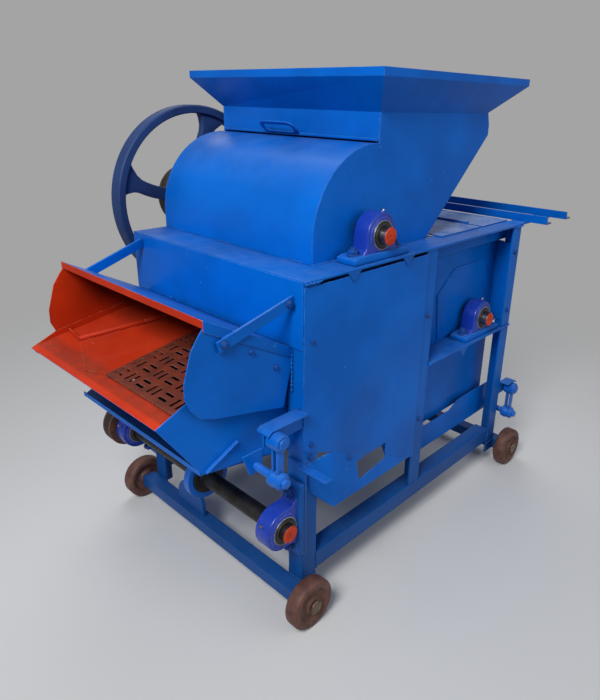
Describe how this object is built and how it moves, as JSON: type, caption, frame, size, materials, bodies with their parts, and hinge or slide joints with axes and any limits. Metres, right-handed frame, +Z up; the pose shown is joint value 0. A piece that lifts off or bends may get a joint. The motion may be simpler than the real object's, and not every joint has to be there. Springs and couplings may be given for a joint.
{
  "type": "power peanut sheller",
  "caption": "Free-standing peanut sheller: hopper over a beater drum in an angle-iron frame, belt-driven fan and flywheel, and a shaking sieve trough under a hood.",
  "frame": {"origin": "on the floor, under the middle of the bounding box", "axes": "+X from the trough end to the fan end, +Y from the bare shaft ends to the flywheel side, +Z up"},
  "size_m": [1.24, 0.759, 1.057],
  "materials": {
    "blue_paint": "gloss enamel with scuffs and dust",
    "orange_paint": "worn orange-red enamel inside the trough",
    "casting_paint": "deep blue enamel over a rough casting",
    "flywheel_paint": "thin grey-blue paint over a rough casting",
    "bare_iron": "matt, brown with surface rust",
    "shaft_steel": "turned, ends touched with red paint",
    "belt_rubber": "matt",
    "sieve_steel": "worn brown-red primer on punched sheet"
  },
  "bodies": {
    "frame": {"leg_front_near": "blue_paint", "leg_front_far": "blue_paint", "leg_rear_near": "blue_paint", "leg_rear_far": "blue_paint", "middle_post_near": "blue_paint", "middle_post_far": "blue_paint", "deck_frame": "blue_paint", "bottom_rail_near": "blue_paint", "bottom_rail_far": "blue_paint", "fan_shelf_near": "blue_paint", "fan_shelf_far": "blue_paint", "axle_beam_front": "blue_paint", "axle_beam_rear": "blue_paint", "front_panel": "blue_paint", "side_panel_near": "blue_paint", "side_panel_far": "blue_paint", "fan_panel_near": "blue_paint", "fan_casing": "blue_paint", "drum_side_near": "blue_paint", "drum_side_far": "blue_paint", "drum_cover": "blue_paint", "housing_back": "blue_paint", "hopper": "blue_paint", "hood_top": "blue_paint", "hood_cheek_near": "blue_paint", "hood_cheek_far": "orange_paint", "deck_plate": "blue_paint", "rear_rails": "blue_paint", "bearing_drum_near": "casting_paint", "bearing_drum_far": "casting_paint", "bearing_fan_near": "casting_paint", "bearing_fan_far": "casting_paint", "bearing_eccentric_near": "casting_paint", "bearing_eccentric_far": "casting_paint", "concave": "bare_iron", "fan_belt": "belt_rubber", "shaker_belt": "belt_rubber"},
    "drum": {"main_shaft": "shaft_steel", "beater_drum": "bare_iron", "flywheel": "flywheel_paint", "drive_pulley": "bare_iron"},
    "fan": {"fan_shaft": "shaft_steel", "fan_impeller": "bare_iron", "fan_pulley": "bare_iron"},
    "eccentric": {"eccentric_shaft": "shaft_steel", "eccentric_pulley": "bare_iron"},
    "rod": {"connecting_rod": "blue_paint"},
    "front_links": {"front_hanger": "blue_paint"},
    "shoe": {"shoe_side_near": "blue_paint", "shoe_side_far": "blue_paint", "shoe_tray": "orange_paint", "shoe_pan": "blue_paint", "sieve_plate": "sieve_steel"},
    "rear_links": {"rear_hanger": "blue_paint"},
    "gate": {"feed_gate": "blue_paint"},
    "lid": {"deck_lid": "blue_paint"},
    "wheel_fn": {"wheel_front_near": "bare_iron"},
    "wheel_ff": {"wheel_front_far": "bare_iron"},
    "wheel_rn": {"wheel_rear_near": "bare_iron"},
    "wheel_rf": {"wheel_rear_far": "bare_iron"}
  },
  "joints": [
    {"name": "drum_spin", "type": "hinge", "parent": "frame", "child": "drum", "pos_m": [-0.127, 0, 0.7616], "axis": [0, 1, 0], "continuous": true},
    {"name": "fan_spin", "type": "hinge", "parent": "frame", "child": "fan", "pos_m": [0.313, 0, 0.4846], "axis": [0, 1, 0], "continuous": true},
    {"name": "eccentric_spin", "type": "hinge", "parent": "frame", "child": "eccentric", "pos_m": [-0.4006, 0, 0.235], "axis": [0, 1, 0], "continuous": true},
    {"name": "rod_pivot", "type": "hinge", "parent": "eccentric", "child": "rod", "pos_m": [-0.3956, 0, 0.235], "axis": [0, 1, 0], "continuous": true},
    {"name": "front_swing", "type": "hinge", "parent": "frame", "child": "front_links", "pos_m": [-0.427, 0, 0.448], "axis": [0, 1, 0], "range_deg": [-4, 4]},
    {"name": "shoe_pivot", "type": "hinge", "parent": "front_links", "child": "shoe", "pos_m": [-0.427, 0, 0.37], "axis": [0, 1, 0], "range_deg": [-4, 4]},
    {"name": "rear_swing", "type": "hinge", "parent": "frame", "child": "rear_links", "pos_m": [0.479, 0, 0.234], "axis": [0, 1, 0], "range_deg": [-4, 4]},
    {"name": "gate_slide", "type": "slide", "parent": "frame", "child": "gate", "axis": [-1, 0, 0], "range_m": [0, 0.3]},
    {"name": "lid_hinge", "type": "hinge", "parent": "frame", "child": "lid", "pos_m": [0.313, 0, 0.719], "axis": [0, -1, 0], "range_deg": [0, 100]},
    {"name": "wheel_fn_spin", "type": "hinge", "parent": "frame", "child": "wheel_fn", "pos_m": [-0.364, -0.3425, 0.054], "axis": [0, 1, 0], "continuous": true},
    {"name": "wheel_ff_spin", "type": "hinge", "parent": "frame", "child": "wheel_ff", "pos_m": [-0.364, 0.2765, 0.054], "axis": [0, 1, 0], "continuous": true},
    {"name": "wheel_rn_spin", "type": "hinge", "parent": "frame", "child": "wheel_rn", "pos_m": [0.465, -0.3425, 0.054], "axis": [0, 1, 0], "continuous": true},
    {"name": "wheel_rf_spin", "type": "hinge", "parent": "frame", "child": "wheel_rf", "pos_m": [0.465, 0.2765, 0.054], "axis": [0, 1, 0], "continuous": true}
  ],
  "couplings": [
    {"joint": "fan_spin", "follows": "drum_spin", "ratio": 1.875},
    {"joint": "eccentric_spin", "follows": "drum_spin", "ratio": 1.5341},
    {"joint": "rod_pivot", "follows": "drum_spin", "ratio": -1.5341},
    {"joint": "shoe_pivot", "follows": "front_swing", "ratio": -1},
    {"joint": "rear_swing", "follows": "front_swing", "ratio": 1}
  ]
}
